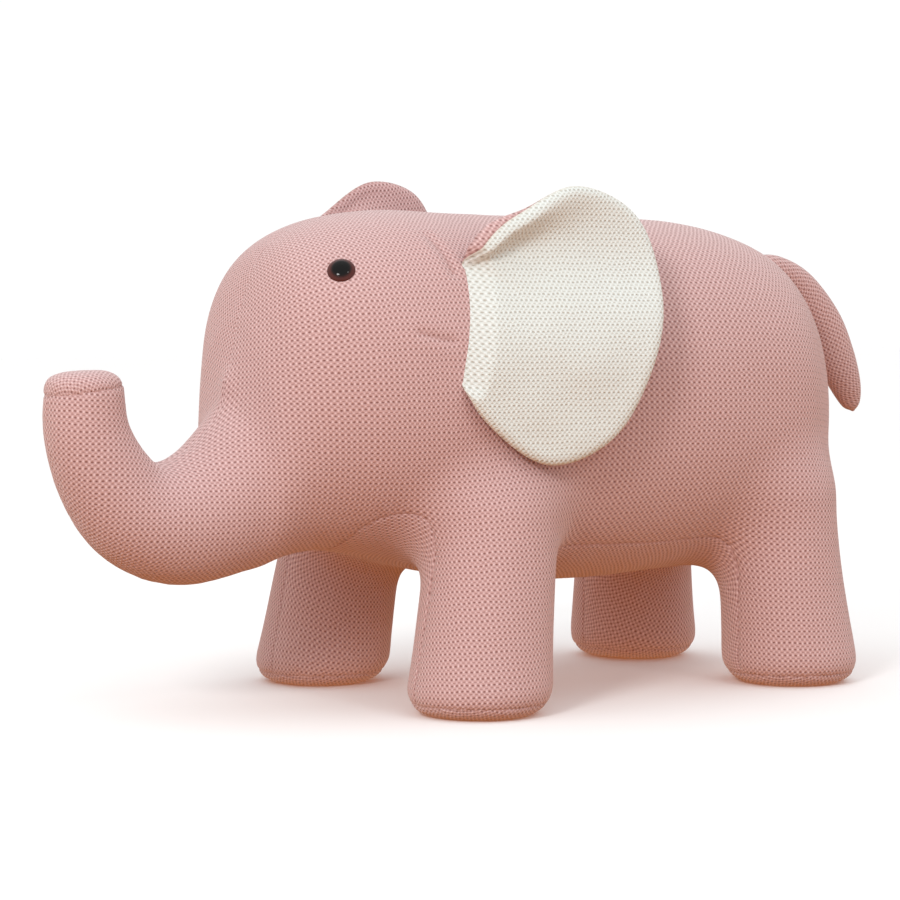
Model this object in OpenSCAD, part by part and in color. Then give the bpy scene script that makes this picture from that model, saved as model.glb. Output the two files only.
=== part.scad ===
// Stuffed knitted elephant, standing on four round feet, trunk curled up, head towards -X.
// Origin on the floor below the middle of the object's box. Left of the animal is -Y.

/* [Cover] */
// Thickness of the knitted cover
cover_t = 2; // [1.2:0.2:3]
// Widest half width of the torso
torso_half_w = 147; // [130:1:155]
// Distance of the belly seam from the middle plane
seam_y = 108; // [95:1:115]
// Height of the belly seam above the floor
seam_z = 128; // [118:1:134]

/* [Legs] */
// Radius of each foot at its widest
foot_r = 55; // [48:1:60]
// Radius of the front legs where they meet the torso
front_leg_r = 47; // [42:1:52]
// Radius of the rear legs where they meet the torso
rear_leg_r = 50; // [44:1:54]
// Middle of the front feet, along the body
front_foot_x = -92; // [-100:1:-84]
// Middle of the front feet, to the side
front_foot_y = 112; // [104:1:118]
// Middle of the rear feet, along the body
rear_foot_x = 228; // [220:1:236]
// Middle of the rear feet, to the side
rear_foot_y = 104; // [98:1:112]
// Height of the seam around each sole
sole_h = 9; // [6:1:14]

/* [Ears] */
// Thickness of a padded ear
ear_t = 9; // [7:0.5:12]
// Angle at which an ear stands away from the head
ear_angle = 15; // [13:1:20]
// Gap between the ear's inner face and the head at the sewn edge
ear_gap = 1.6; // [1.4:0.1:3]

/* [Tail] */
// Half thickness of the tail across the middle plane
tail_half_w = 13; // [9:1:16]

/* [Eyes] */
// Diameter of the domed eyes
eye_d = 21; // [16:1:24]
// Height of the dome above the cover
eye_dome = 7.5; // [5:0.5:9]
// Diameter of the shank behind each eye
shank_d = 6; // [4:0.5:8]
// Diameter of the washer that holds each eye
washer_d = 18; // [14:1:20]

/* [Hidden] */

PINK = [0.80, 0.62, 0.59];
WHITE = [0.93, 0.92, 0.88];
FILL = [0.96, 0.96, 0.95];
BLACK = [0.05, 0.04, 0.05];
LEFT = -1;
RIGHT = 1;
TORSO_SIDES = 24;
TUBE_SIDES = 16;

// Torso and head: x, lowest z, highest z, half width as a part of the widest
TORSO = [
    [-243, 250, 250, 0], [-236, 208, 302, 0.34], [-213, 164, 346, 0.60], [-175, 134, 368, 0.77],
    [-125, 112, 377, 0.88], [-65, 97, 379, 0.94], [-5, 88, 379, 0.98], [75, 86, 378, 1],
    [155, 89, 376, 0.99], [213, 92, 366, 0.94], [255, 98, 346, 0.82], [283, 110, 316, 0.63],
    [299, 138, 280, 0.37], [305, 205, 205, 0]
];
// How square the torso's sections are; 2 is an ellipse
TORSO_POWER = 2.25;
// The head's filling is packed up to this x, the torso's behind it
NECK_X = -110;

// Trunk: x, z and radius, from inside the head to its tip
TRUNK = [
    [-155, 214, 78], [-200, 186, 64], [-245, 157, 53], [-287, 144, 46],
    [-324, 153, 39], [-348, 180, 34], [-361, 214, 31], [-363, 246, 30]
];
TRUNK_DOME = 14;
TIP_SEAM_Z = 246;

LEG_H = 212;
FOOT_ROUND = 16;
FRONT_LEAN = [24, 16];
REAR_LEAN = [-4, 13];

// Belly panel seen from the side: throat, chest, along the belly, under the rump
BELLY_EDGE = [
    [-168, 142], [-150, 150], [-128, 150], [-112, 138], [-104, seam_z],
    [180, seam_z - 2], [320, seam_z - 6]
];

// Ear outline: back along the head, and up, from the middle of the sewn edge
EAR = [
    [6, 45], [-3, 0], [-17, -45], [0, -66], [44, -100], [86, -100], [126, -56],
    [148, 0], [155, 50], [134, 92], [92, 110], [48, 96], [20, 64]
];
EAR_MID = [70, 0];
// Middle of the sewn edge, half its height, and how far the ear above it follows the head inwards
EAR_ROOT = [-105, 134, 294];
EAR_ROOT_HALF = 46;
EAR_ROOT_IN = 37;
// How sharply that bend starts, and how sharply it ends above the sewn edge
EAR_ROOT_BEND = 2.3;
EAR_ROOT_EASE = 3;
// Sizes of the rings of points on an ear's faces, as parts of its outline
EAR_RINGS = [0.25, 0.5, 0.75, 1];

// Tail: x, z, half depth in the middle plane, width as a part of the widest
TAIL = [
    [275.5, 340, 8, 0.45], [298, 338, 12, 0.8], [325, 323, 15, 0.95], [351, 292, 18, 1],
    [366, 262, 19, 1], [378, 238, 14, 0.85], [386, 220, 7, 0.5]
];
TAIL_JOINT = [268.7, 0, 340.7];
TAIL_KNOT_R = 5;

// Eye on the left of the head, and the way that it faces
EYE_AT = [-189.8, -77.2, 332.5];
EYE_TURN = [0, 52, -126];
SHANK_L = 15;
WASHER_T = 2;
FIT = 0.1;
// Room between a curved cover and the filling in it
SLACK = 1.2;

function spline_point(a, b, c, d, t) =
    0.5 * (2 * b + (c - a) * t + (2 * a - 5 * b + 4 * c - d) * t * t + (3 * b - a - 3 * c + d) * t * t * t);

function spline(p, n) = [
    for (i = [0:len(p) - 2], k = [0:n - 1])
        spline_point(p[max(i - 1, 0)], p[i], p[i + 1], p[min(i + 2, len(p) - 1)], k / n),
    p[len(p) - 1]
];

function loop_spline(p, n) = [
    for (i = [0:len(p) - 1], k = [0:n - 1])
        spline_point(p[(i + len(p) - 1) % len(p)], p[i], p[(i + 1) % len(p)], p[(i + 2) % len(p)], k / n)
];

function flat(lists) = [for (l = lists, p = l) p];

function super(v) = sign(v) * pow(abs(v), 2 / TORSO_POWER);

// One closed solid through rings of equal length, closed by a point at each end
module loft(rings, start, finish) {
    n = len(rings[0]);
    m = len(rings);
    polyhedron(
        points = concat([start], flat(rings), [finish]),
        faces = concat(
            [for (i = [0:n - 1]) [0, 1 + (i + 1) % n, 1 + i]],
            [for (r = [0:m - 2], i = [0:n - 1])
                [1 + r * n + i, 1 + r * n + (i + 1) % n, 1 + (r + 1) * n + i]],
            [for (r = [0:m - 2], i = [0:n - 1])
                [1 + r * n + (i + 1) % n, 1 + (r + 1) * n + (i + 1) % n, 1 + (r + 1) * n + i]],
            [for (i = [0:n - 1]) [1 + m * n, 1 + (m - 1) * n + i, 1 + (m - 1) * n + (i + 1) % n]]
        ),
        convexity = 4
    );
}

// Puts a left-hand piece on the side asked for
module on_side(side) {
    mirror([0, (side == LEFT) ? 0 : 1, 0]) children();
}

// Takes everything inside it as one faceted shape
module one_mesh() {
    resize([0, 0, 0]) children();
}

// Torso and head, smaller all over by inset
module torso_form(inset) {
    s = spline(TORSO, 2);
    last = len(s) - 1;
    rings = [
        for (k = [1:last - 1])
            let (
                w = s[k][3] * torso_half_w - inset,
                h = (s[k][2] - s[k][1]) / 2 - inset,
                mid = (s[k][2] + s[k][1]) / 2,
                squeeze = 1 - inset / 270,
                x = 30 + (s[k][0] - 30) * squeeze
            )
            [for (i = [0:TORSO_SIDES - 1])
                let (a = -360 * (i + 0.5) / TORSO_SIDES) [x, w * super(cos(a)), mid + h * super(sin(a))]]
    ];
    loft(rings, [s[0][0] + inset, 0, s[0][1]], [s[last][0] - inset, 0, s[last][1]]);
}

// Rings around a curved middle line in the XZ plane
function swept(s, inset, width) = [
    for (k = [0:len(s) - 1])
        let (
            d = s[min(k + 1, len(s) - 1)] - s[max(k - 1, 0)],
            l = norm([d[0], d[1]]),
            r = s[k][2] - inset,
            w = (width == 0) ? r : s[k][3] * width - inset
        )
        [for (i = [0:TUBE_SIDES - 1])
            let (a = 360 * (i + 0.5) / TUBE_SIDES)
            [s[k][0] + r * sin(a) * d[1] / l, w * cos(a), s[k][1] - r * sin(a) * d[0] / l]]
];

// Rounds the trunk's end off into a shallow dome
function trunk_line() = concat(
    spline(TRUNK, 2),
    [for (b = [35, 65])
        let (e = TRUNK[len(TRUNK) - 1]) [e[0], e[1] + TRUNK_DOME * sin(b), e[2] * pow(cos(b), 0.6)]]
);

module trunk_form(inset) {
    e = TRUNK[len(TRUNK) - 1];
    loft(
        swept(trunk_line(), inset, 0),
        [TRUNK[0][0] + inset, 0, TRUNK[0][1]],
        [e[0], 0, e[1] + TRUNK_DOME - inset]
    );
}

// A left leg from the floor into the torso, y out from the middle plane, with a rounded foot
module leg_form(x, y, top_r, lean, inset) {
    foot = [for (b = [0, 30, 60, 90]) [FOOT_ROUND * (1 - cos(b)), foot_r - FOOT_ROUND * (1 - sin(b))]];
    shaft = [for (z = [45, 80, 115, 150]) [z, foot_r + (top_r - foot_r) * sin(min(90, 90 * z / 120))]];
    shoulder = [for (b = [30, 60]) [150 + (LEG_H - 150) * sin(b), top_r * pow(cos(b), 0.7)]];
    rings = [
        for (p = concat(foot, shaft, shoulder))
            let (z = max(p[0], 0) + inset * (1 - 2 * p[0] / LEG_H), q = p[0] / LEG_H)
            [for (i = [0:TUBE_SIDES - 1])
                let (a = -360 * (i + 0.5) / TUBE_SIDES)
                [x + lean[0] * q + (p[1] - inset) * cos(a), lean[1] * q - y + (p[1] - inset) * sin(a), z]]
    ];
    loft(rings, [x, -y, inset], [x + lean[0], lean[1] - y, LEG_H - inset]);
}

module front_leg(side, inset) {
    on_side(side) leg_form(front_foot_x, front_foot_y, front_leg_r, FRONT_LEAN, inset);
}

module rear_leg(side, inset) {
    on_side(side) leg_form(rear_foot_x, rear_foot_y, rear_leg_r, REAR_LEAN, inset);
}

module whole_form(inset) {
    torso_form(inset);
    trunk_form(inset);
    for (side = [LEFT, RIGHT]) {
        front_leg(side, inset);
        rear_leg(side, inset);
    }
}

module cover() {
    difference() {
        whole_form(0);
        whole_form(cover_t);
        for (side = [LEFT, RIGHT]) eye_socket(side);
    }
}

module belly_zone() {
    rotate([90, 0, 0])
        linear_extrude(2 * seam_y, center = true)
            polygon(concat([[-168, 0]], BELLY_EDGE, [[320, 0]]));
}

module sole_zone() {
    translate([-200, -200, -5]) cube([520, 400, sole_h + 5]);
}

module tip_zone() {
    translate([-420, -60, TIP_SEAM_Z]) cube([130, 120, 40]);
}

// Everything on one side of the middle plane
module half_space(side) {
    translate([-500, (side == LEFT) ? -300 : 0, -10]) cube([1000, 300, 500]);
}

module side_panel(side) {
    color(PINK) one_mesh()
        difference() {
            intersection() {
                cover();
                half_space(side);
            }
            belly_zone();
            sole_zone();
            tip_zone();
        }
}

module belly_panel() {
    color(PINK) one_mesh()
        difference() {
            intersection() {
                cover();
                belly_zone();
            }
            sole_zone();
        }
}

module trunk_tip_panel() {
    color(PINK) one_mesh()
        intersection() {
            cover();
            tip_zone();
        }
}

// The cap under the foot at x, y
module sole(x, y) {
    color(PINK) one_mesh()
        intersection() {
            cover();
            sole_zone();
            translate([x, y, 0]) cylinder(h = 60, r = foot_r + 10, center = true, $fn = 32);
        }
}

module head_zone() {
    translate([-300, -200, 0]) cube([300 + NECK_X, 400, 450]);
}

module torso_filling() {
    color(FILL) one_mesh()
        difference() {
            torso_form(cover_t);
            head_zone();
        }
}

module head_filling() {
    color(FILL) one_mesh()
        difference() {
            intersection() {
                torso_form(cover_t);
                head_zone();
            }
            for (side = [LEFT, RIGHT]) eye_socket(side);
        }
}

module trunk_filling() {
    color(FILL) one_mesh()
        difference() {
            trunk_form(cover_t);
            torso_form(cover_t);
        }
}

module leg_filling() {
    color(FILL) one_mesh()
        difference() {
            children();
            torso_form(cover_t);
        }
}

// A point of an ear: u back from the sewn edge, v up, w out from the middle of its thickness
function ear_point(u, v, w) =
    let (
        climb = pow(max((v + EAR_ROOT_HALF) / (2 * EAR_ROOT_HALF), 0), EAR_ROOT_BEND),
        eased = climb / pow(1 + pow(climb, EAR_ROOT_EASE), 1 / EAR_ROOT_EASE),
        out = EAR_ROOT[1] + ear_t / 2 + ear_gap - EAR_ROOT_IN * eased
    )
    [
        EAR_ROOT[0] + u * cos(ear_angle) - w * sin(ear_angle),
        -(out + u * sin(ear_angle) + w * cos(ear_angle)),
        EAR_ROOT[2] + v
    ];

// Rings of [size, pull in, w] over one face of an ear, from its middle out
function ear_face(pull, w) = [for (r = EAR_RINGS) [r, pull, w]];

function backwards(list) = [for (i = [len(list) - 1:-1:0]) list[i]];

// A solid of the left ear from rings of [size, pull in, w], each ring the ear's outline
module ear_solid(steps) {
    line = loop_spline(EAR, 2);
    count = len(line);
    rings = [
        for (s = steps)
            [for (i = [count - 1:-1:0])
                let (
                    p = line[i] - EAR_MID,
                    q = EAR_MID + p * s[0] * (1 - s[1] / norm(p))
                )
                ear_point(q[0], q[1], s[2])]
    ];
    loft(
        rings,
        ear_point(EAR_MID[0], EAR_MID[1], steps[0][2]),
        ear_point(EAR_MID[0], EAR_MID[1], steps[len(steps) - 1][2])
    );
}

// The tray of knit on one face of an ear: from its face at w0 round the rim to its floor at w1
function ear_tray(w0, w1) = concat(
    ear_face(0, w0), [[1, 0, 0], [1, cover_t, 0]], backwards(ear_face(cover_t, w1))
);

module ear_outer(side) {
    color(PINK) on_side(side) ear_solid(ear_tray(-ear_t / 2, cover_t - ear_t / 2));
}

module ear_lining(side) {
    color(WHITE) on_side(side) ear_solid(backwards(ear_tray(ear_t / 2, ear_t / 2 - cover_t)));
}

module ear_wadding(side) {
    pull = cover_t + SLACK;
    w = ear_t / 2 - pull;
    color(FILL)
        on_side(side)
            ear_solid(concat(ear_face(pull, -w), [[1, pull, 0]], backwards(ear_face(pull, w))));
}

// Rings of the tail from its root to near its tip
function tail_rings(inset) = swept(spline(TAIL, 2), inset, tail_half_w);

function tail_tip(inset) =
    let (e = TAIL[len(TAIL) - 1]) [e[0] + 3, 0, e[1] - 9 + 2 * inset];

function tail_start() = [TAIL[0][0], 0, TAIL[0][1]];

// The sewn knot of cover on which the tail turns
module tail_root() {
    color(PINK) translate(TAIL_JOINT) sphere(r = TAIL_KNOT_R, $fn = 24);
}

// The tail's cover, a cup that is open at its root
module tail_cover() {
    outer = tail_rings(0);
    inner = tail_rings(cover_t);
    color(PINK)
        loft(concat(backwards(inner), outer), tail_tip(cover_t), tail_tip(0));
}

module tail_filling() {
    inset = cover_t + SLACK;
    color(FILL) loft(tail_rings(inset), tail_start(), tail_tip(inset));
}

// Moves its children to an eye, with +Z out of the head
module at_eye(side) {
    on_side(side)
        translate(EYE_AT)
            rotate(EYE_TURN)
                children();
}

// Room in the head for an eye's shank and washer
module eye_socket(side) {
    at_eye(side) {
        translate([0, 0, -SHANK_L - 1]) cylinder(h = SHANK_L + 6, d = shank_d + 2 * FIT, $fn = 24);
        translate([0, 0, -cover_t - WASHER_T - 2 * FIT - 0.4])
            cylinder(h = WASHER_T + 2 * FIT, d = washer_d + 2 * FIT, $fn = 32);
    }
}

module eye(side) {
    r = eye_d / 2;
    color(BLACK)
        at_eye(side) {
            translate([0, 0, FIT])
                rotate_extrude($fn = 48)
                    polygon(concat(
                        [[0, 0], [r - 0.6, 0]],
                        [for (a = [0:10:80]) [r * pow(cos(a), 0.8), 1 + (eye_dome - 1) * sin(a)]],
                        [[0, eye_dome]]
                    ));
            translate([0, 0, -SHANK_L]) cylinder(h = SHANK_L + 1, d = shank_d, $fn = 24);
        }
}

module eye_washer(side) {
    color(FILL)
        at_eye(side)
            translate([0, 0, -cover_t - WASHER_T - FIT - 0.4])
                difference() {
                    cylinder(h = WASHER_T, d = washer_d, $fn = 32);
                    translate([0, 0, -1]) cylinder(h = WASHER_T + 2, d = shank_d + FIT, $fn = 24);
                }
}

side_panel(LEFT);  // side_panel_left
side_panel(RIGHT);  // side_panel_right
belly_panel();
trunk_tip_panel();
sole(front_foot_x, -front_foot_y);  // sole_front_left
sole(front_foot_x, front_foot_y);  // sole_front_right
sole(rear_foot_x, -rear_foot_y);  // sole_rear_left
sole(rear_foot_x, rear_foot_y);  // sole_rear_right
torso_filling();
head_filling();
trunk_filling();
leg_filling() front_leg(LEFT, cover_t);  // leg_filling_front_left
leg_filling() front_leg(RIGHT, cover_t);  // leg_filling_front_right
leg_filling() rear_leg(LEFT, cover_t);  // leg_filling_rear_left
leg_filling() rear_leg(RIGHT, cover_t);  // leg_filling_rear_right
ear_outer(LEFT);  // ear_left_outer
ear_lining(LEFT);  // ear_left_lining
ear_wadding(LEFT);  // ear_left_wadding
ear_outer(RIGHT);  // ear_right_outer
ear_lining(RIGHT);  // ear_right_lining
ear_wadding(RIGHT);  // ear_right_wadding
tail_root();
tail_cover();
tail_filling();
eye(LEFT);  // eye_left
eye(RIGHT);  // eye_right
eye_washer(LEFT);  // eye_washer_left
eye_washer(RIGHT);  // eye_washer_right
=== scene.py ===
"""A stuffed, knitted elephant: its looks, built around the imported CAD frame."""

import math

import bmesh
import bpy
import numpy as np
from mathutils import Matrix, Vector, bvhtree, kdtree, noise


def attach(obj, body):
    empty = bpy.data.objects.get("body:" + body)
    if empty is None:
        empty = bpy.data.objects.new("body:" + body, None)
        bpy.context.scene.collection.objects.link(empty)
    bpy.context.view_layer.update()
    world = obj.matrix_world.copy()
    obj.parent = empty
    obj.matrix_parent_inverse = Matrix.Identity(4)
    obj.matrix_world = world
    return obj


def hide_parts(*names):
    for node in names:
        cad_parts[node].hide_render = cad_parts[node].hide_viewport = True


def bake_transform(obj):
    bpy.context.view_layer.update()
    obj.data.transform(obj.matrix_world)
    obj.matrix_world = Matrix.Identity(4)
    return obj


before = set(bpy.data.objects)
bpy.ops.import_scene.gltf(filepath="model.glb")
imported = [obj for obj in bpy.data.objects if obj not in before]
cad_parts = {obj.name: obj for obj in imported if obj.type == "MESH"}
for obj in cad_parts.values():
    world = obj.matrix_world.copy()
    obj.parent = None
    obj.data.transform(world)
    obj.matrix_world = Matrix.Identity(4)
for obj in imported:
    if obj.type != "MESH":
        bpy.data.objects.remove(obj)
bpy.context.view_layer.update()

MM = 0.001
LEFT, RIGHT = -1, 1
SIDE_NAMES = {LEFT: "left", RIGHT: "right"}

# ---- shape, in millimetres
# Torso and head: x, lowest z, highest z, half width
TORSO = [
    (-240, 252, 252, 0), (-233, 209, 302, 50), (-213, 164, 347, 88), (-175, 134, 370, 113),
    (-125, 112, 380, 129), (-65, 97, 380, 138), (-5, 88, 379, 144), (75, 86, 378, 147),
    (155, 89, 376, 146), (213, 92, 366, 138), (253, 99, 348, 115), (279, 111, 319, 87),
    (295, 139, 283, 51), (301, 206, 206, 0),
]
TORSO_POWER = 2.25  # 2 is an ellipse, more is squarer
# Trunk: x, z, radius, from inside the head to the tip
TRUNK = [
    (-155, 214, 78), (-200, 186, 64), (-245, 158, 53.5), (-286, 146, 47),
    (-322, 154, 40.5), (-346, 181, 35.5), (-360.5, 214, 31.5), (-363, 246, 30),
]
# How far the trunk's end stands out, how round its rim is, and the stretch that this end shape is kept to
TRUNK_DOME = 14
TRUNK_ROUND = 12
TIP_DEPTH = 60
TIP_REACH = 90
FOOT_R = 57
FOOT_ROUND = 22
# The leg's top, the height by which it has its top radius, and the height that its lean is given for
LEG_TOP = 190
LEG_TOP_ROUND = 40
LEG_TAPER_H = 120
LEAN_H = 212
# Legs: foot x, foot y, shift along and inwards by the top, radius at the top
LEGS = {
    "front": (-93, 115, 32, 18, 50),
    "rear": (226, 105, -15, 15, 50),
}
# How widely the trunk and the legs blend into the torso
BLEND_TRUNK = 40
BLEND_LEG = 34
# Where the seams run: inside the legs, above the soles, and round the disc at the trunk's end, which tilts
SEAM_Y = 104
SOLE_Z = 9
TIP_Z = 246
TIP_TILT = 0.13
TIP_FRONT = -300
SEAM_BLEND = 14
# Between the front and the rear legs
MIDDLE_X = 60
# The belly panel's edge, seen from the side: x, z
BELLY_EDGE = [(-168, 142), (-150, 150), (-128, 150), (-112, 138), (-100, 128), (180, 126), (320, 122)]
BELLY_FRONT = -168
# The cell size of the grid that the cover's surface is taken from, and how its points are spread out
GRID = 5.0
SPREAD_PASSES = 6
SPREAD_SHARE = 0.5
SURFACE_STEPS = 2
# The least half width or height, and the range that a slope is kept to, where one is divided by
THIN = 0.5
SLOPES = (0.35, 3)


def spline(rows, steps):
    """A Catmull-Rom curve through rows, with steps points to a stretch."""
    rows = np.asarray(rows, float)
    p = np.vstack([2 * rows[0] - rows[1], rows, 2 * rows[-1] - rows[-2]])
    out = []
    for i in range(1, len(p) - 2):
        a, b, c, d = p[i - 1:i + 3]
        for t in np.linspace(0, 1, steps, endpoint=False):
            out.append(
                b + 0.5 * t * (c - a)
                + t * t * (a - 2.5 * b + 2 * c - 0.5 * d)
                + 0.5 * t ** 3 * (3 * b - a - 3 * c + d)
            )
    return np.array(out + [rows[-1]])


def smooth_min(a, b, k):
    """The lower of a and b, blended over a width of k."""
    h = np.clip(0.5 + 0.5 * (b - a) / k, 0, 1)
    return b + (a - b) * h - k * h * (1 - h)


def rounded_corner(a, b, r):
    """Both a and b below zero, with the edge between them rounded to radius r."""
    qa, qb = a + r, b + r
    outside = np.sqrt(np.maximum(qa, 0) ** 2 + np.maximum(qb, 0) ** 2)
    return outside + np.minimum(np.maximum(qa, qb), 0) - r


def torso_distance(x, y, z, grid):
    """About how far each point of a grid lies outside the torso and head; below zero inside."""
    rows = spline(TORSO, 12)
    rows = rows[np.argsort(rows[:, 0])]
    low, high, half = (np.interp(x, rows[:, 0], rows[:, i]) for i in (1, 2, 3))
    half = np.maximum(half, THIN)
    tall = np.maximum((high - low) / 2, THIN)
    middle = (high + low) / 2
    to_side, to_top = np.abs(y / half), np.abs((z - middle) / tall)
    r = (to_side ** TORSO_POWER + to_top ** TORSO_POWER) ** (1 / TORSO_POWER)
    beyond = np.maximum(rows[0, 0] - x, x - rows[-1, 0])
    past_end = np.sqrt(y ** 2 + (z - middle) ** 2 + beyond ** 2)
    depth = np.where(beyond > 0, past_end, (r - 1) * np.minimum(half, tall))
    slope = np.sqrt(sum(g * g for g in np.gradient(depth, grid)))
    return depth / np.clip(slope, *SLOPES)


def trunk_distance(x, y, z):
    """How far each point lies outside the trunk; below zero inside."""
    line = spline(TRUNK, 6)
    best = None
    for a, b in zip(line[:-1], line[1:]):
        ab = b[:2] - a[:2]
        t = np.clip(((x - a[0]) * ab[0] + (z - a[1]) * ab[1]) / (ab @ ab), 0, 1)
        radius = a[2] + (b[2] - a[2]) * t
        d = np.sqrt((x - a[0] - t * ab[0]) ** 2 + y ** 2 + (z - a[1] - t * ab[1]) ** 2) - radius
        best = d if best is None else np.minimum(best, d)
    end = line[-1]
    way = end[:2] - line[-3][:2]
    way = way / np.linalg.norm(way)
    cap = (x - end[0]) * way[0] + (z - end[1]) * way[1] - TRUNK_DOME
    near_tip = (cap > -TIP_DEPTH) & ((x - end[0]) ** 2 + (z - end[1]) ** 2 < TIP_REACH ** 2)
    return np.where(near_tip, rounded_corner(best, cap, TRUNK_ROUND), best)


def leg_distance(x, y, z, leg):
    """How far each point lies outside one leg; below zero inside."""
    foot_x, foot_y, along, inward, top_r = leg
    t = z / LEAN_H
    radius = FOOT_R + (top_r - FOOT_R) * np.sin(np.clip(z / LEG_TAPER_H, 0, 1) * np.pi / 2)
    side = np.sqrt((x - foot_x - along * t) ** 2 + (y - foot_y + inward * t) ** 2) - radius
    foot = rounded_corner(side, -z, FOOT_ROUND)
    return rounded_corner(foot, z - LEG_TOP, LEG_TOP_ROUND)


def body_distance(x, y, z, grid):
    """How far each point of a grid lies outside the whole body; below zero inside."""
    y = np.abs(y)
    field = smooth_min(torso_distance(x, y, z, grid), trunk_distance(x, y, z), BLEND_TRUNK)
    for leg in LEGS.values():
        field = smooth_min(field, leg_distance(x, y, z, leg), BLEND_LEG)
    return field


def grid_points(low, count, step):
    return np.meshgrid(*[low[i] + step * np.arange(count[i]) for i in range(3)], indexing="ij")


def body_field():
    """The body's distance on a grid over its left half and a little beyond, and the grid's corner."""
    low = np.array([-410.0, -195.0 - GRID / 2, -15.0])
    count = [int(740 / GRID), int(round((195 + 2 * GRID) / GRID)) + 1, int(425 / GRID)]
    return body_distance(*grid_points(low, count, GRID), GRID), low


def sample(grid, low, points):
    """Values of a grid between its nodes."""
    q = (points - low) / GRID
    i = np.clip(np.floor(q).astype(int), 0, np.array(grid.shape[:3]) - 2)
    f = q - i
    total = 0
    for corner in range(8):
        c = np.array([corner & 1, corner >> 1 & 1, corner >> 2 & 1])
        weight = np.prod(np.where(c, f, 1 - f), axis=1)
        j = i + c
        value = grid[j[:, 0], j[:, 1], j[:, 2]]
        total = total + (weight[:, None] * value if value.ndim > 1 else weight * value)
    return total


def surface_nets(field, low, grid):
    """A quad mesh of the zero level of the field: one point in each cell that the surface crosses."""
    inside = field < 0
    corners = [(i, j, k) for i in (0, 1) for j in (0, 1) for k in (0, 1)]
    nx, ny, nz = field.shape
    filled = sum(inside[i:nx - 1 + i, j:ny - 1 + j, k:nz - 1 + k].astype(np.int8) for i, j, k in corners)
    active = (filled > 0) & (filled < 8)
    index = np.full(active.shape, -1)
    index[active] = np.arange(active.sum())
    cells = np.argwhere(active)
    total = np.zeros((len(cells), 3))
    hits = np.zeros(len(cells))
    for a in range(8):
        for b in range(a + 1, 8):
            ca, cb = np.array(corners[a]), np.array(corners[b])
            if np.abs(ca - cb).sum() != 1:
                continue
            fa = field[tuple((cells + ca).T)]
            fb = field[tuple((cells + cb).T)]
            crossed = (fa < 0) != (fb < 0)
            t = np.where(crossed, fa / np.where(crossed, fa - fb, 1), 0)
            total += (ca + t[:, None] * (cb - ca)) * crossed[:, None]
            hits += crossed
    points = (total / hits[:, None] + cells) * grid + low
    quads = []
    for axis in range(3):
        u, v = (axis + 1) % 3, (axis + 2) % 3
        a = inside.take(range(field.shape[axis] - 1), axis)
        change = a != inside.take(range(1, field.shape[axis]), axis)
        for side in (u, v):
            edge = [slice(None)] * 3
            edge[side] = [0, -1]
            change[tuple(edge)] = False
        at = np.argwhere(change)
        ring = []
        for du, dv in ((1, 1), (0, 1), (0, 0), (1, 0)):
            cell = at.copy()
            cell[:, u] -= du
            cell[:, v] -= dv
            ring.append(index[tuple(cell.T)])
        quad = np.stack(ring, 1)
        flip = ~a[tuple(at.T)]
        quad[flip] = quad[flip][:, ::-1]
        quads.append(quad)
    return points, np.vstack(quads)


def half_surface():
    """Points and quads of the left half's surface, with its edge on the middle plane."""
    field, low = body_field()
    slope = np.stack(np.gradient(field, GRID), -1)
    points, quads = surface_nets(field, low, GRID)
    quads = quads[(points[quads][:, :, 1] < GRID / 4).all(1)]
    used = np.unique(quads)
    renumber = np.zeros(len(points), int)
    renumber[used] = np.arange(len(used))
    points, quads = points[used], renumber[quads]
    middle = np.abs(points[:, 1]) < GRID / 4
    edges = np.sort(np.vstack([quads[:, [i, (i + 1) % 4]] for i in range(4)]), 1)
    edges = np.unique(edges, axis=0)
    # The points spread out evenly and stay on the surface
    for _ in range(SPREAD_PASSES):
        total = np.zeros_like(points)
        count = np.zeros(len(points))
        for a, b in ((0, 1), (1, 0)):
            np.add.at(total, edges[:, a], points[edges[:, b]])
            np.add.at(count, edges[:, a], 1)
        mean = total / count[:, None]
        points = points + SPREAD_SHARE * (mean - points) * (~middle)[:, None]
        for _ in range(SURFACE_STEPS):
            g = sample(slope, low, points)
            step = sample(field, low, points) / np.maximum((g * g).sum(1), 0.2)
            points = points - np.clip(step, -GRID / 2, GRID / 2)[:, None] * g
            points[middle, 1] = 0
    points[middle, 1] = 0
    return points, quads


# ---- panels and seams
def smooth_max(a, b, k):
    """The higher of a and b, blended over a width of k."""
    return -smooth_min(-a, -b, k)


def sole_line(p):
    """Below zero on the soles."""
    return p[:, 2] - SOLE_Z


def tip_line(p):
    """Above zero on the disc at the trunk's end; the disc's seam tilts a little."""
    height = p[:, 2] - TIP_Z - TIP_TILT * (p[:, 0] - TRUNK[-1][0])
    return np.where(p[:, 0] < TIP_FRONT, height, -20)


def belly_line(p):
    """Below zero on the belly panel."""
    edge_x, edge_z = np.array(spline(BELLY_EDGE, 4)).T
    under = p[:, 2] - np.interp(p[:, 0], edge_x, edge_z)
    inner = np.abs(p[:, 1]) - SEAM_Y
    return smooth_max(smooth_max(under, inner, SEAM_BLEND), BELLY_FRONT - p[:, 0], SEAM_BLEND)


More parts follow.
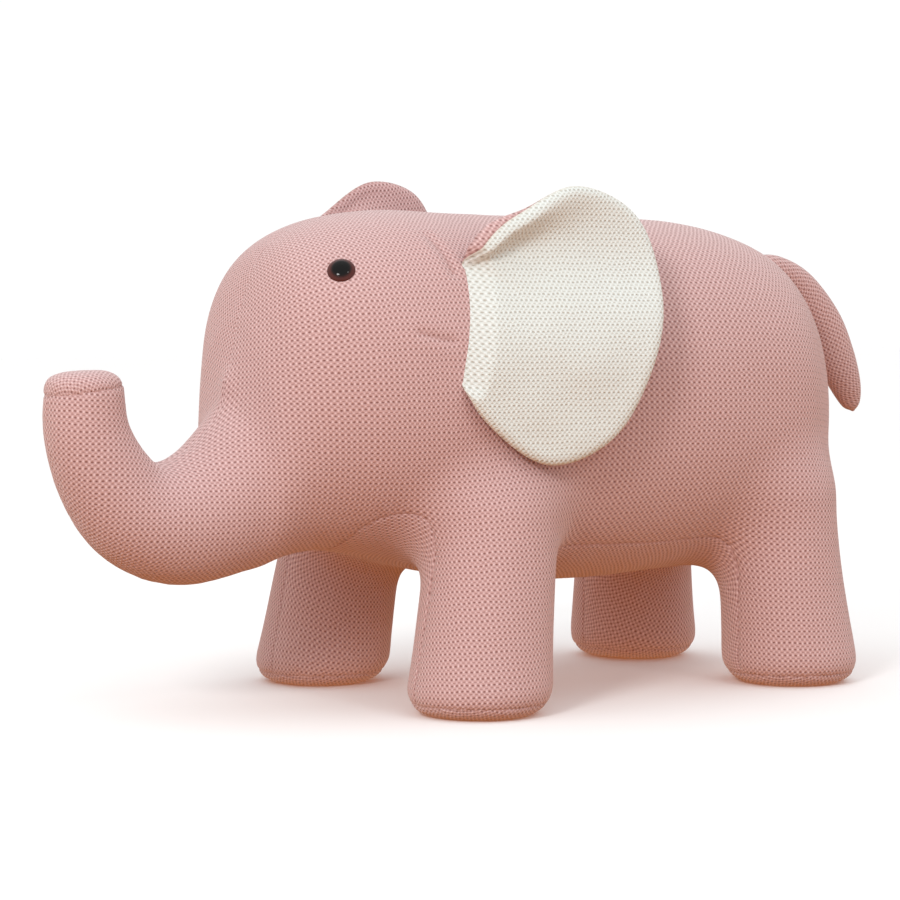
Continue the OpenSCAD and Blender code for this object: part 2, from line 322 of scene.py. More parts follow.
def cut_along(bm, line):
    """Adds an edge loop where line(points) is zero, moving the points next to it onto it."""
    points = np.array([v.co for v in bm.verts])
    value = line(points)
    step = 0.5
    slope = np.stack([(line(points + step * np.eye(3)[i]) - value) / step for i in range(3)], 1)
    normals = np.array([v.normal for v in bm.verts])
    slope -= (slope * normals).sum(1)[:, None] * normals
    steep = (slope * slope).sum(1)
    near = (np.abs(value) < 0.3 * GRID * np.sqrt(steep)) & (steep > 0.05)
    near &= (np.abs(points[:, 1]) > 1e-3) | (np.abs(slope[:, 1]) < 1e-3)
    for i in np.flatnonzero(near):
        bm.verts[i].co = points[i] - value[i] / steep[i] * slope[i]
        value[i] = 0
    level = {v: value[i] for i, v in enumerate(bm.verts)}
    crossed = [e for e in bm.edges if level[e.verts[0]] * level[e.verts[1]] < 0]
    touched = {f for e in crossed for f in e.link_faces}
    for e in crossed:
        a, b = e.verts
        new = bmesh.utils.edge_split(e, a, level[a] / (level[a] - level[b]))[1]
        level[new] = 0
    zero = {v for v in level if level[v] == 0}
    touched |= {f for v in zero for f in v.link_faces if sum(w in zero for w in f.verts) > 1}
    for f in list(touched):
        ring = list(f.verts)
        n = len(ring)
        on = [i for i in range(n) if level[ring[i]] == 0]
        for i in on:
            found = False
            for j in on:
                if j - i < 2 or (i == 0 and j == n - 1):
                    continue
                one = [level[v] for v in ring[i + 1:j]]
                other = [level[v] for v in ring[j + 1:] + ring[:i]]
                if (max(one) <= 0 <= min(other) or max(other) <= 0 <= min(one)) and any(one) and any(other):
                    bmesh.utils.face_split(f, ring[i], ring[j])
                    found = True
                    break
            if found:
                break
    bm.normal_update()
    bm.verts.ensure_lookup_table()


PANELS = [
    "side_panel_left", "side_panel_right", "belly_panel", "trunk_tip_panel",
    "sole_front_left", "sole_front_right", "sole_rear_left", "sole_rear_right",
]


def panel_of(p):
    """The index in PANELS of the panel at each point."""
    right = p[:, 1] > 0
    panel = np.where(right, 1, 0)
    panel[belly_line(p) < 0] = 2
    panel[tip_line(p) > 0] = 3
    sole = sole_line(p) < 0
    panel[sole] = (4 + 2 * (p[:, 0] > MIDDLE_X) + right)[sole]
    return panel


def body_mesh():
    """The whole cover as one mesh, its faces' material index telling the panel, its seams marked."""
    points, quads = half_surface()
    bm = bmesh.new()
    verts = [bm.verts.new(p) for p in points]
    for q in quads:
        bm.faces.new([verts[i] for i in q])
    bm.normal_update()
    bm.verts.ensure_lookup_table()
    for line in (sole_line, tip_line, belly_line):
        cut_along(bm, line)
    half = bm.faces[:] + bm.edges[:] + bm.verts[:]
    copy = bmesh.ops.duplicate(bm, geom=half)
    for v in copy["geom"]:
        if isinstance(v, bmesh.types.BMVert):
            v.co.y = -v.co.y
    bmesh.ops.reverse_faces(bm, faces=[f for f in copy["geom"] if isinstance(f, bmesh.types.BMFace)])
    middle = [v for v in bm.verts if abs(v.co.y) < 1e-4]
    bmesh.ops.remove_doubles(bm, verts=middle, dist=1e-3)
    bm.faces.ensure_lookup_table()
    centres = np.array([f.calc_center_median() for f in bm.faces])
    for f, panel in zip(bm.faces, panel_of(centres)):
        f.material_index = int(panel)
        f.smooth = True
    for e in bm.edges:
        e.seam = len({f.material_index for f in e.link_faces}) > 1
    mesh = bpy.data.meshes.new("cover")
    bm.to_mesh(mesh)
    bm.free()
    return mesh


def unwrapped(mesh):
    """The mesh as an object, each panel flattened to its cutting pattern in the UV map "knit"."""
    mesh.uv_layers.new(name="knit")
    cover = new_object("cover", mesh)
    bpy.context.view_layer.objects.active = cover
    cover.select_set(True)
    bpy.ops.object.mode_set(mode="EDIT")
    bpy.ops.mesh.select_all(action="SELECT")
    bpy.ops.uv.unwrap(method="MINIMUM_STRETCH", margin=0.001)
    bpy.ops.object.mode_set(mode="OBJECT")
    cover.select_set(False)
    lay_patterns(mesh)
    return cover


# How far to each side of the belly's middle its rows of stitches are set straight
BELLY_STRAIGHT = 60
# How much wider the stitches are asked to be on the flank: from which height, about which x, how far from it
FLANK_STRETCH = 0.45
FLANK_Z = (125, 200)
FLANK_X = 95
FLANK_ENDS = (60, 190)
# The same on the head's front, from which x
HEAD_STRETCH = 0.15
HEAD_ENDS = (150, 220)
PATTERN_STEPS = 900
PATTERN_DONE = 1e-12


def lay_patterns(mesh):
    """Scales each panel's UVs to metres and turns its rows of stitches the way they run on the toy."""
    points = vertex_points(mesh)
    uv = read(mesh.uv_layers["knit"].data, "uv", np.float32, 2)
    flat = uv[:, 0] + 1j * uv[:, 1]
    corner = read(mesh.loops, "vertex_index")
    starts = read(mesh.polygons, "loop_start")
    panel = read(mesh.polygons, "material_index")
    panel_of_loop = panel[np.searchsorted(starts, np.arange(len(corner)), "right") - 1]
    a, b = starts, starts + 1
    length = np.linalg.norm(points[corner[a]] - points[corner[b]], axis=1)
    drawn = np.abs(flat[a] - flat[b])
    for i in range(2, len(PANELS)):
        on = panel_of_loop == i
        faces = panel == i
        flat[on] *= length[faces].sum() / drawn[faces].sum()
        chosen = np.flatnonzero(on)
        if PANELS[i] == "belly_panel":
            x, y = (points[corner[chosen]] / MM)[:, :2].T
            chosen = chosen[(np.abs(x - MIDDLE_X) < BELLY_STRAIGHT) & (np.abs(y) < BELLY_STRAIGHT)]
        x, y = points[corner[chosen]][:, :2].T
        columns = np.stack([x - x.mean(), y - y.mean()], 1)
        gx, gy = np.linalg.lstsq(columns, flat[chosen] - flat[chosen].mean(), rcond=None)[0]
        if (gy / gx).imag < 0:
            flat[on] = flat[on].conj()
            gx, gy = gx.conj(), gy.conj()
        turn = gx + gy / 1j
        flat[on] *= abs(turn) / turn
    normals = vertex_normals(mesh)
    ends = read(mesh.edges, "vertices", width=2)
    for i, side in enumerate((LEFT, RIGHT)):
        on = panel_of_loop == i
        used = np.zeros(len(points), bool)
        used[corner[on]] = True
        level = level_rows(points, normals, ends[used[ends].all(1)], side)
        flat[on] = level[corner[on]]
    uv[:, 0], uv[:, 1] = flat.real, flat.imag
    mesh.uv_layers["knit"].data.foreach_set("uv", uv.ravel())


def level_rows(points, normals, ends, side):
    """A side panel's pattern, u + iv: the rows of stitches run level, the columns straight up."""
    x, _, z = (points / MM).T
    upward = np.array([0, 0, 1.0]) - normals[:, 2:] * normals
    along = -side * (np.array([1.0, 0, 0]) - normals[:, :1] * normals) + np.cross(upward, normals)
    along /= np.linalg.norm(along, axis=1)[:, None]
    upward = np.cross(normals, along)
    stretch = 1 + FLANK_STRETCH * ease(z, *FLANK_Z) * (1 - ease(np.abs(x - FLANK_X), *FLANK_ENDS))
    stretch += HEAD_STRETCH * ease(-x, *HEAD_ENDS)
    a, b = ends.T
    step = points[b] - points[a]
    want = (step * (along[a] / stretch[a, None] + along[b] / stretch[b, None])).sum(1) / 2
    want = want + 0.5j * (step * (upward[a] + upward[b])).sum(1)
    count = len(points)

    def spread(values):
        """Each edge's value taken from its start and given to its end."""
        parts = [np.bincount(b, w, count) - np.bincount(a, w, count) for w in (values.real, values.imag)]
        return parts[0] + 1j * parts[1]

    # Conjugate gradients for the pattern whose steps along the edges come nearest to those wanted
    flat = -side * points[:, 0] + 1j * points[:, 2]
    rest = spread(want - (flat[b] - flat[a]))
    way = rest.copy()
    size = (rest * rest.conj()).real.sum()
    for _ in range(PATTERN_STEPS):
        pushed = spread(way[b] - way[a])
        share = size / (way * pushed.conj()).real.sum()
        flat = flat + share * way
        rest = rest - share * pushed
        new_size = (rest * rest.conj()).real.sum()
        if new_size < PATTERN_DONE:
            break
        way = rest + new_size / size * way
        size = new_size
    return flat


def new_object(name, mesh):
    obj = bpy.data.objects.new(name, mesh)
    bpy.context.scene.collection.objects.link(obj)
    return obj


def smooth_object(name, mesh, material):
    mesh.materials.append(material)
    for f in mesh.polygons:
        f.use_smooth = True
    return new_object(name, mesh)


def read(items, what, kind=int, width=1):
    """A value of each item as an array, in rows where it has a width."""
    values = np.zeros(len(items) * width, kind)
    items.foreach_get(what, values)
    return values if width == 1 else values.reshape(-1, width)


def vertex_points(mesh):
    return read(mesh.vertices, "co", np.float32, 3).astype(float)


def vertex_normals(mesh):
    return read(mesh.vertex_normals, "vector", np.float32, 3).astype(float)


def give_values(mesh, name, values):
    """A number at each vertex, for the mesh's material to read by that name."""
    mesh.attributes.new(name, "FLOAT", "POINT").data.foreach_set("value", np.asarray(values, np.float32))


def give_pattern(mesh, flat):
    """The UV map "knit", from each corner's place on the flat cloth in millimetres."""
    flat = (flat * MM).astype(np.float32)
    mesh.uv_layers.new(name="knit").data.foreach_set("uv", flat.ravel())


def move_points(mesh, points):
    mesh.vertices.foreach_set("co", points.astype(np.float32).ravel())


def disc_faces(around, rings):
    """Faces of a disc whose point 0 is in the middle, with rings of points round it."""
    faces = [(0, 1 + i, 1 + (i + 1) % around) for i in range(around)]
    for k in range(rings - 1):
        a, b = 1 + k * around, 1 + (k + 1) * around
        faces += [(a + i, b + i, b + (i + 1) % around, a + (i + 1) % around) for i in range(around)]
    return faces


def subdivided(obj, levels):
    """The object's mesh after Catmull-Clark subdivision; the object goes."""
    mod = obj.modifiers.new("smooth", "SUBSURF")
    mod.levels = levels
    depsgraph = bpy.context.evaluated_depsgraph_get()
    mesh = bpy.data.meshes.new_from_object(
        obj.evaluated_get(depsgraph), preserve_all_data_layers=True, depsgraph=depsgraph
    )
    old = obj.data
    bpy.data.objects.remove(obj)
    bpy.data.meshes.remove(old)
    return mesh


def noise_at(points, size, seed):
    """Smooth noise, about -1 to 1, with features of the given size in metres."""
    shift = Vector((seed * 7.3, seed * 3.1, seed * 5.7))
    return np.array([noise.noise(Vector(p) / size + shift) for p in points])


# How deep each kind of seam pulls the cover in, how wide its rolled edges are, and how dark the painted shade
# along its groove is
SEAMS = {
    "back": (0.0003, 0.002, 0.0), "belly": (0.0008, 0.003, 0.2),
    "tip": (0.0009, 0.003, 0.12), "sole": (0.0008, 0.004, 0.18),
}
SEAM_LINE = 0.0012


def seam_kind(high_panel):
    """The kind of seam, from the higher index of the panels that meet there."""
    if high_panel >= 4:
        return "sole"
    if high_panel == 3:
        return "tip"
    return "belly" if high_panel == 2 else "back"


def seam_distances(mesh, points):
    """Each vertex's distance to the nearest seam, and that seam's depth, width and the strength of the
    painted shade along it.
    """
    corner = read(mesh.loops, "vertex_index")
    loop_panel = np.repeat(read(mesh.polygons, "material_index"), read(mesh.polygons, "loop_total"))
    low_panel = np.full(len(points), 99)
    high_panel = np.full(len(points), -1)
    np.minimum.at(low_panel, corner, loop_panel)
    np.maximum.at(high_panel, corner, loop_panel)
    seam = np.flatnonzero(low_panel != high_panel)
    row = {int(v): i for i, v in enumerate(seam)}
    beside = [[] for _ in seam]
    for e in mesh.edges:
        a, b = e.vertices
        if a in row and b in row:
            beside[row[a]].append(b)
            beside[row[b]].append(a)
    tree = kdtree.KDTree(len(seam))
    for i, v in enumerate(seam):
        tree.insert(points[v], i)
    tree.balance()
    nearest = np.array([tree.find(p)[1] for p in points])
    most = max(len(b) for b in beside)
    ends = np.array([(b + [int(v)] * most)[:most] for b, v in zip(beside, seam)])
    a = points[seam[nearest]]
    best = np.full(len(points), 9.0)
    for k in range(most):
        ab = points[ends[nearest, k]] - a
        t = np.clip(((points - a) * ab).sum(1) / np.maximum((ab * ab).sum(1), 1e-12), 0, 1)
        best = np.minimum(best, np.linalg.norm(points - a - t[:, None] * ab, axis=1))
    kinds = np.array([SEAMS[seam_kind(high_panel[v])] for v in seam])
    return best, *kinds[nearest].T


# Creases sewn into the head beside each ear: lines of x and z, their depth and their width
DARTS = [
    ([(-148, 287), (-132, 283), (-122, 281)], 0.0014, 0.0022),
    ([(-114, 357), (-111, 345), (-110, 332)], 0.0016, 0.0040),
]
# How dark the painted shade in the darts' creases is
DART_PAINTED_SHADE = 0.4
SEAM_TURN_IN = 0.004
# How far a seam's pull reaches, ripples beside the seams, lumps of the filling, and the dimple under an eye
SEAM_REACH = 0.010
PUCKER = 0.0006
PUCKER_SIZE = 0.010
LUMP = 0.0012
LUMP_SIZE = 0.075
EYE_DIMPLE = 0.0016
EYE_DIMPLE_R = 0.010


def dressed_cover():
    """The cover's mesh, fine and pulled in along its seams, with the painted shade along the seam grooves at
    each vertex.
    """
    base = body_mesh()
    base.transform(Matrix.Scale(MM, 4))
    mesh = subdivided(unwrapped(base), 1)
    points = vertex_points(mesh)
    normals = vertex_normals(mesh)
    away, depth, width, painted_seam_shade = seam_distances(mesh, points)
    # Painted shade along each seam's groove, kept to a narrow line
    painted_seam_shade = painted_seam_shade * np.exp(-((away / SEAM_LINE) ** 2))
    roll = 1 - np.sqrt(1 - (1 - np.clip(away / width, 0, 1)) ** 2)
    pull = depth * (roll + 0.6 * np.exp(-((away / SEAM_REACH) ** 2)))
    pucker = PUCKER * noise_at(points, PUCKER_SIZE, 1) * np.exp(-away / SEAM_REACH)
    lumps = LUMP * noise_at(points, LUMP_SIZE, 2)
    for side in (LEFT, RIGHT):
        far = np.linalg.norm(points - np.array(eye_place(side)[0]), axis=1)
        pull += EYE_DIMPLE * np.exp(-((far / EYE_DIMPLE_R) ** 2))
    on_side = np.flatnonzero((np.abs(points[:, 1]) > 0.07) & (points[:, 0] < 0) & (points[:, 2] > 0.2))
    for line, deep, wide in DARTS:
        far = line_distance(points[on_side][:, [0, 2]], spline(line, 6) * MM)[0]
        swelling = 0.3 * deep * np.exp(-(((far - 0.008) / 0.006) ** 2))
        pull[on_side] += deep * np.exp(-((far / wide) ** 2)) - swelling
        # Painted shade in the dart's crease
        painted_seam_shade[on_side] = np.maximum(painted_seam_shade[on_side], DART_PAINTED_SHADE * np.exp(-((far / SEAM_LINE) ** 2)))
    points += normals * (pucker + lumps - pull)[:, None]
    points[:, 2] = np.maximum(points[:, 2], 0)
    move_points(mesh, points)
    # The painted shade of the seams and darts, for the knit's colour
    give_values(mesh, "seam", painted_seam_shade)
    mesh.update()
    return mesh


def panel_piece(cover, index, name, material):
    """One panel of the cover as a piece of its own, its edges turned in along the seams."""
    bm = bmesh.new()
    bm.from_mesh(cover)
    bmesh.ops.delete(bm, geom=[f for f in bm.faces if f.material_index != index], context="FACES")
    bm.normal_update()
    rim = [e for e in bm.edges if e.is_boundary]
    for e in rim:
        e.smooth = False
    inward = {tuple(v.co): -v.normal.copy() for e in rim for v in e.verts}
    turned = bmesh.ops.extrude_edge_only(bm, edges=rim)["geom"]
    for v in turned:
        if isinstance(v, bmesh.types.BMVert):
            v.co += inward[tuple(v.co)] * SEAM_TURN_IN
            v.co.z = max(v.co.z, 0)
    for f in bm.faces:
        f.material_index = 0
        f.smooth = True
    mesh = bpy.data.meshes.new(name)
    bm.to_mesh(mesh)
    bm.free()
    mesh.materials.clear()
    mesh.materials.append(material)
    return new_object(name, mesh)


# ---- eyes
EYE_AT = (-189.8, -77.2, 332.5)
EYE_TILT = 56
EYE_AZIMUTH = -126
EYE_SIDES = 64
# From the middle of the dome to the tip of the stalk: radius, height, and how much of it is rim colour
EYE_PROFILE = [
    (0, 5.0, 0), (2.5, 4.85, 0), (5, 4.3, 0), (6.6, 3.7, 0.1), (7.6, 3.1, 0.5), (8.6, 2.5, 0.95),
    (9.8, 1.6, 1), (10.5, 0.6, 1), (10.4, -0.2, 1), (9.6, -0.8, 1), (5, -1.0, 1), (2.6, -1.2, 1),
    (2.4, -3, 1), (2.4, -16, 1),
]


def eye_place(side):
    """The middle of an eye's back on the cover, in metres, and the way that it faces."""
    tilt, turn = math.radians(EYE_TILT), math.radians(EYE_AZIMUTH)
    out = Vector((math.sin(tilt) * math.cos(turn), math.sin(tilt) * math.sin(turn), math.cos(tilt)))
    at = Vector(EYE_AT) * MM
    if side == RIGHT:
        at.y, out.y = -at.y, -out.y
    return at, out


def eye_piece(side, material):
    """A moulded eye: a glossy dome with a darker middle, its rim, and the stalk behind it."""
    profile = spline(EYE_PROFILE, 5)[:-3]
    at, out = eye_place(side)
    turn = out.to_track_quat("Z", "X").to_matrix()
    points, rim = [tuple(at + out * (profile[0][1] * MM))], [0.0]
    for r, h, shade in profile[1:]:
        for i in range(EYE_SIDES):
            a = 2 * math.pi * i / EYE_SIDES
            points.append(tuple(at + turn @ Vector((r * math.cos(a), r * math.sin(a), h)) * MM))
            rim.append(shade)
    faces = disc_faces(EYE_SIDES, len(profile) - 1)
    faces.append(tuple(len(points) - EYE_SIDES + i for i in range(EYE_SIDES))[::-1])
    mesh = bpy.data.meshes.new(f"eye_{SIDE_NAMES[side]}_dome")
    mesh.from_pydata(points, [], faces)
    give_values(mesh, "rim", np.clip(rim, 0, 1))
    return smooth_object(mesh.name, mesh, material)


# ---- materials
class Nodes:
    """Short ways to add and join the shader nodes of a material or a world."""

    def __init__(self, owner, shader="Principled BSDF"):
        self.owner = owner
        owner.use_nodes = True
        self.tree = owner.node_tree
        self.shader = self.tree.nodes[shader]

    def put(self, kind, **settings):
        node = self.tree.nodes.new(kind)
        for key, value in settings.items():
            setattr(node, key, value)
        return node

    def join(self, value, socket):
        if isinstance(value, bpy.types.NodeSocket):
            self.tree.links.new(value, socket)
        else:
            socket.default_value = value

    def give(self, name, value):
        self.join(value, self.shader.inputs[name])

    def math(self, operation, *values, clamp=False):
        node = self.put("ShaderNodeMath", operation=operation, use_clamp=clamp)
        for value, socket in zip(values, node.inputs):
            self.join(value, socket)
        return node.outputs[0]

    def smooth(self, value, low, high):
        """0 where value is below low, 1 above high, with a smooth step between."""
        node = self.put("ShaderNodeMapRange", interpolation_type="SMOOTHSTEP")
        self.join(value, node.inputs["Value"])
        self.join(low, node.inputs["From Min"])
        self.join(high, node.inputs["From Max"])
        return node.outputs["Result"]

    def mix(self, share, a, b):
        node = self.put("ShaderNodeMix", data_type="RGBA")
        self.join(share, node.inputs["Factor"])
        self.join(a, node.inputs["A"])
        self.join(b, node.inputs["B"])
        return node.outputs["Result"]

    def noise(self, where, scale, detail=2.0):
        node = self.put("ShaderNodeTexNoise")
        self.join(where, node.inputs["Vector"])
        self.join(scale, node.inputs["Scale"])
        self.join(detail, node.inputs["Detail"])
        return node.outputs["Fac"]

    def plus(self, a, b, clamp=False):
        return self.math("ADD", a, b, clamp=clamp)

    def times(self, a, b, clamp=False):
        return self.math("MULTIPLY", a, b, clamp=clamp)

    def bump(self, height, distance, strength=1.0):
        """Roughens the shader's surface by height."""
        node = self.put("ShaderNodeBump")
        self.join(height, node.inputs["Height"])
        self.join(distance, node.inputs["Distance"])
        self.join(strength, node.inputs["Strength"])
        self.give("Normal", node.outputs["Normal"])

    def attribute(self, name):
        return self.put("ShaderNodeAttribute", attribute_name=name).outputs["Fac"]


# The marks of one stitch, in stitches: its middle across and up, half its width and height, and its soft edge
HOLE = (0.0, 0.0, 0.36, 0.24, 0.85)
DASH = (0.5, 0.5, 0.42, 0.14, 0.85)
BRIDGE = (0.5, 0.0, 0.30, 0.34, 0.9)
LOOP = (0.0, 0.5, 0.30, 0.24, 0.9)
WAVER = 0.7  # how far the rows and columns stray, in stitches
KNIT_BUMP = 0.0008


def fabric(name, stitch, yarn, light, deep, seam_shade_colour):
    """Tuck-stitch knit: rows of round holes with yarn bridges between, and short dashes between the rows; its
    colour has painted highlight on the bridges, painted shade in the holes and dashes, and painted shade
    along the seams.
    """
    n = Nodes(bpy.data.materials.new(name))
    uv = n.put("ShaderNodeUVMap", uv_map="knit").outputs["UV"]
    parts = n.put("ShaderNodeSeparateXYZ")
    n.join(uv, parts.inputs[0])

    def counted(axis, waver_scale):
        """How many stitches along u, axis 0, or v, axis 1, a place is."""
        straight = n.math("DIVIDE", parts.outputs[axis], stitch[axis])
        return n.plus(straight, n.times(n.noise(uv, waver_scale), WAVER))

    across, up = counted(0, 38.0), counted(1, 70.0)

    def off(value, middle):
        """How far value is from the nearest whole number plus middle, in stitches."""
        past = n.math("FRACT", n.plus(value, 0.5 - middle))
        return n.math("ABSOLUTE", n.math("SUBTRACT", past, 0.5))

    def mark(middle_x, middle_y, half_w, half_h, soft):
        """1 in the middle of an oval in each stitch, fading to 0 at its edge."""
        x = n.math("DIVIDE", off(across, middle_x), half_w)
        y = n.math("DIVIDE", off(up, middle_y), half_h)
        far = n.math("SQRT", n.plus(n.math("POWER", x, 2.0), n.math("POWER", y, 2.0)))
        return n.math("SUBTRACT", 1.0, n.smooth(far, 1.0 - soft, 1.0))

    hole, dash, bridge, loop = mark(*HOLE), mark(*DASH), mark(*BRIDGE), mark(*LOOP)
    strands = n.noise(uv, 1500.0, 1.0)
    pit = n.plus(hole, n.times(dash, 0.55), clamp=True)
    bridge = n.plus(bridge, n.times(loop, 0.8), clamp=True)
    height = n.plus(n.times(bridge, 0.5), n.times(strands, 0.2))
    height = n.math("SUBTRACT", height, n.times(pit, 0.9))
    n.bump(height, KNIT_BUMP, 0.8)
    patchy = n.times(n.math("SUBTRACT", n.noise(uv, 12.0), 0.35), 0.3, clamp=True)
    colour = n.mix(patchy, yarn, tuple(c * 0.86 for c in yarn[:3]) + (1,))
    # Painted highlight on the raised yarn bridges and loops, with fine strands of varying tone
    lit = n.plus(n.times(bridge, 0.75), n.times(strands, 0.2), clamp=True)
    colour = n.mix(lit, colour, light)
    # Painted shade in the stitch holes and dashes
    colour = n.mix(n.times(pit, 0.85), colour, deep)
    # Painted shade along the seam grooves, from the seam attribute
    colour = n.mix(n.attribute("seam"), colour, seam_shade_colour)
    n.give("Base Color", colour)
    n.give("Roughness", n.plus(0.8, n.times(strands, 0.15)))
    n.give("Specular IOR Level", 0.12)
    n.give("Sheen Weight", 0.35)
    n.give("Sheen Roughness", 0.45)
    return n.owner


def gloss_plastic(name, middle, rim):
    """Moulded plastic with a near-black middle and a rim of another colour."""
    n = Nodes(bpy.data.materials.new(name))
    where = n.put("ShaderNodeTexCoord").outputs["Object"]
    speck = n.noise(where, 700.0)
    edge = n.times(n.attribute("rim"), n.plus(0.7, n.times(speck, 0.5)), clamp=True)
    n.give("Base Color", n.mix(edge, middle, rim))
    n.give("Roughness", n.plus(0.06, n.times(speck, 0.04)))
    n.give("Specular IOR Level", 0.2)
    return n.owner


def fibre(name, colour):
    """A pale matt material with fine strands."""
    n = Nodes(bpy.data.materials.new(name))
    where = n.put("ShaderNodeTexCoord").outputs["Object"]
    strands = n.noise(where, 260.0, 6.0)
    n.give("Base Color", n.mix(strands, colour, tuple(c * 0.8 for c in colour[:3]) + (1,)))
    n.bump(strands, 0.002)
    n.give("Roughness", 0.95)
    return n.owner


# For each yarn, in turn: its own colour, the painted highlight on the raised yarn bridges, the painted shade
# in the stitch holes and dashes, and the painted shade along the seam grooves
PINK = (0.535, 0.325, 0.315, 1)
PINK_BRIDGE_HIGHLIGHT = (0.82, 0.61, 0.605, 1)
PINK_HOLE_SHADE = (0.24, 0.10, 0.088, 1)
PINK_SEAM_SHADE = (0.33, 0.15, 0.13, 1)
WHITE = (0.68, 0.72, 0.69, 1)
WHITE_BRIDGE_HIGHLIGHT = (0.82, 0.865, 0.855, 1)
WHITE_HOLE_SHADE = (0.47, 0.45, 0.39, 1)
WHITE_SEAM_SHADE = (0.62, 0.52, 0.40, 1)
EYE_MIDDLE = (0.002, 0.002, 0.002, 1)
EYE_RIM = (0.085, 0.022, 0.018, 1)
# One stitch's width and height, in metres
PINK_STITCH = (0.0037, 0.0046)
WHITE_STITCH = (0.0038, 0.0046)
pink_knit = fabric("knit_pink", PINK_STITCH, PINK, PINK_BRIDGE_HIGHLIGHT, PINK_HOLE_SHADE, PINK_SEAM_SHADE)
white_knit = fabric("knit_white", WHITE_STITCH, WHITE, WHITE_BRIDGE_HIGHLIGHT, WHITE_HOLE_SHADE, WHITE_SEAM_SHADE)
eye_gloss = gloss_plastic("eye_gloss", EYE_MIDDLE, EYE_RIM)
washer_plastic = fibre("washer_plastic", (0.80, 0.80, 0.78, 1))
filling_fibre = fibre("filling_fibre", (0.85, 0.84, 0.80, 1))


# ---- fillings
FILL_GRID = 8.0
FILL_GAP = 12
FILL_ROUND = 14
# Where the regions meet: the neck, a slanted cut at the trunk's root, and the tops of the legs
NECK_X = -110
TRUNK_X = -228
TRUNK_CUT_Z = 150
LEG_FILL_TOP = 92
LEG_FILL_SHIFT = 8
LEG_FILL_HALF_L = 90
LEG_FILL_Y = 8


def leg_region(x, y, z, name, side):
    """Below zero in the part of the body that a leg's filling takes up."""
    foot_x = LEGS[name][0]
    beyond = np.abs(x - foot_x - LEG_FILL_SHIFT) - LEG_FILL_HALF_L
    return np.maximum(np.maximum(z - LEG_FILL_TOP, beyond), LEG_FILL_Y - side * y)


def trunk_cut(x, z):
    """Below zero on the trunk's side of the cut at its root."""
    return x - TRUNK_X + 0.5 * (z - TRUNK_CUT_Z)


FILLINGS = {
    "trunk_filling": lambda x, y, z: trunk_cut(x, z),
    "head_filling": lambda x, y, z: np.maximum(-trunk_cut(x, z), x - NECK_X),
    "torso_filling": lambda x, y, z: np.maximum(NECK_X - x, LEG_FILL_TOP - z),
}
for leg in LEGS:
    for side, word in SIDE_NAMES.items():
        FILLINGS[f"leg_filling_{leg}_{word}"] = (
            lambda x, y, z, leg=leg, side=side: leg_region(x, y, z, leg, side)
        )


def filling_piece(name, region):
    """A wad of fibre: the body's inside, a little clear of the cover, within one region."""
    low = np.array([-404.0, -176.0, -16.0])
    count = [int(728 / FILL_GRID), int(352 / FILL_GRID) + 1, int(420 / FILL_GRID)]
    x, y, z = grid_points(low, count, FILL_GRID)
    field = body_distance(x, y, z, FILL_GRID)
    field = rounded_corner(field + FILL_GAP, region(x, y, z) + 2, FILL_ROUND)
    points, quads = surface_nets(field, low, FILL_GRID)
    mesh = bpy.data.meshes.new(name)
    mesh.from_pydata((points * MM).tolist(), [], quads.tolist())
    mesh = subdivided(new_object(name, mesh), 1)
    points = vertex_points(mesh)
    tufts = 0.0012 * noise_at(points, 0.022, 5) + 0.0008 * noise_at(points, 0.008, 6)
    points += vertex_normals(mesh) * tufts[:, None]
    move_points(mesh, points)
    return smooth_object(name + "_fibre", mesh, filling_fibre)


# ---- ears
# The seam between an ear's two covers, flat: along the ear and up, from the middle of its root
EAR = [
    (4, 41), (-3, 6), (-14, -42), (4, -76), (52, -106), (106, -84), (140, -22), (157, 44),
    (140, 86), (92, 103), (44, 82), (20, 65),
]
EAR_MIDDLE = np.array([70.0, 0.0])
EAR_T = 10
EAR_ANGLE = math.radians(15)
EAR_ROOT = (-105, 134, 294)
EAR_ROOT_HALF = 46
EAR_ROOT_IN = 37
EAR_ROOT_BEND = 2.3
EAR_ROOT_EASE = 3
EAR_GAP = 1.6
# The line where the ear is sewn to the head, and the one along which its front edge curls outwards
EAR_BASE = EAR[:3]
EAR_LIP = EAR[:1] + EAR[:7:-1]
# The lip's height, over what length it rises, and where along it the height fades
LIP_H = 17
LIP_RISE = 15
LIP_FADE = (50, 165)
# The pink cover's fold over the lip: how much, where it starts and ends, how far it reaches, and its turn
FOLD = 0.85
FOLD_IN = (0, 14)
FOLD_OUT = (25, 95)
FOLD_REACH = 12
FOLD_TURN = math.radians(65)
# How wide the covers' rounded edges are, and how much wider in the fold
EDGE_ROLL = 8
FOLD_ROLL = 9
EAR_RINGS = 46
EDGE_RINGS = 12
EAR_LUMP = 1.4
EAR_LUMP_SIZE = 38
# How far from its base an ear is drawn to the head, and how nearly it gets there
SEWN_REACH = 18
SEWN_SHARE = 0.97
# How dark the painted shade along the ear's rim seam is, and how wide
EAR_SEAM_PAINTED_SHADE = 0.4
EAR_SEAM_W = 1.2


def loop_spline(rows, steps):
    """A closed curve through rows."""
    rows = [tuple(r) for r in rows]
    curve = spline(rows[-2:] + rows + rows[:2], steps)
    return curve[2 * steps:(2 + len(rows)) * steps]


def line_distance(points, line):
    """Each point's distance to a polyline, and the length along it to the nearest place."""
    a, b = line[:-1], line[1:]
    ab = b - a
    length = np.linalg.norm(ab, axis=1)
    before = np.concatenate([[0], np.cumsum(length)[:-1]])
    t = np.clip(((points[:, None] - a) * ab).sum(2) / length ** 2, 0, 1)
    d = np.linalg.norm(points[:, None] - a - t[..., None] * ab, axis=2)
    k = d.argmin(1)
    rows = np.arange(len(points))
    return d[rows, k], before[k] + t[rows, k] * length[k]


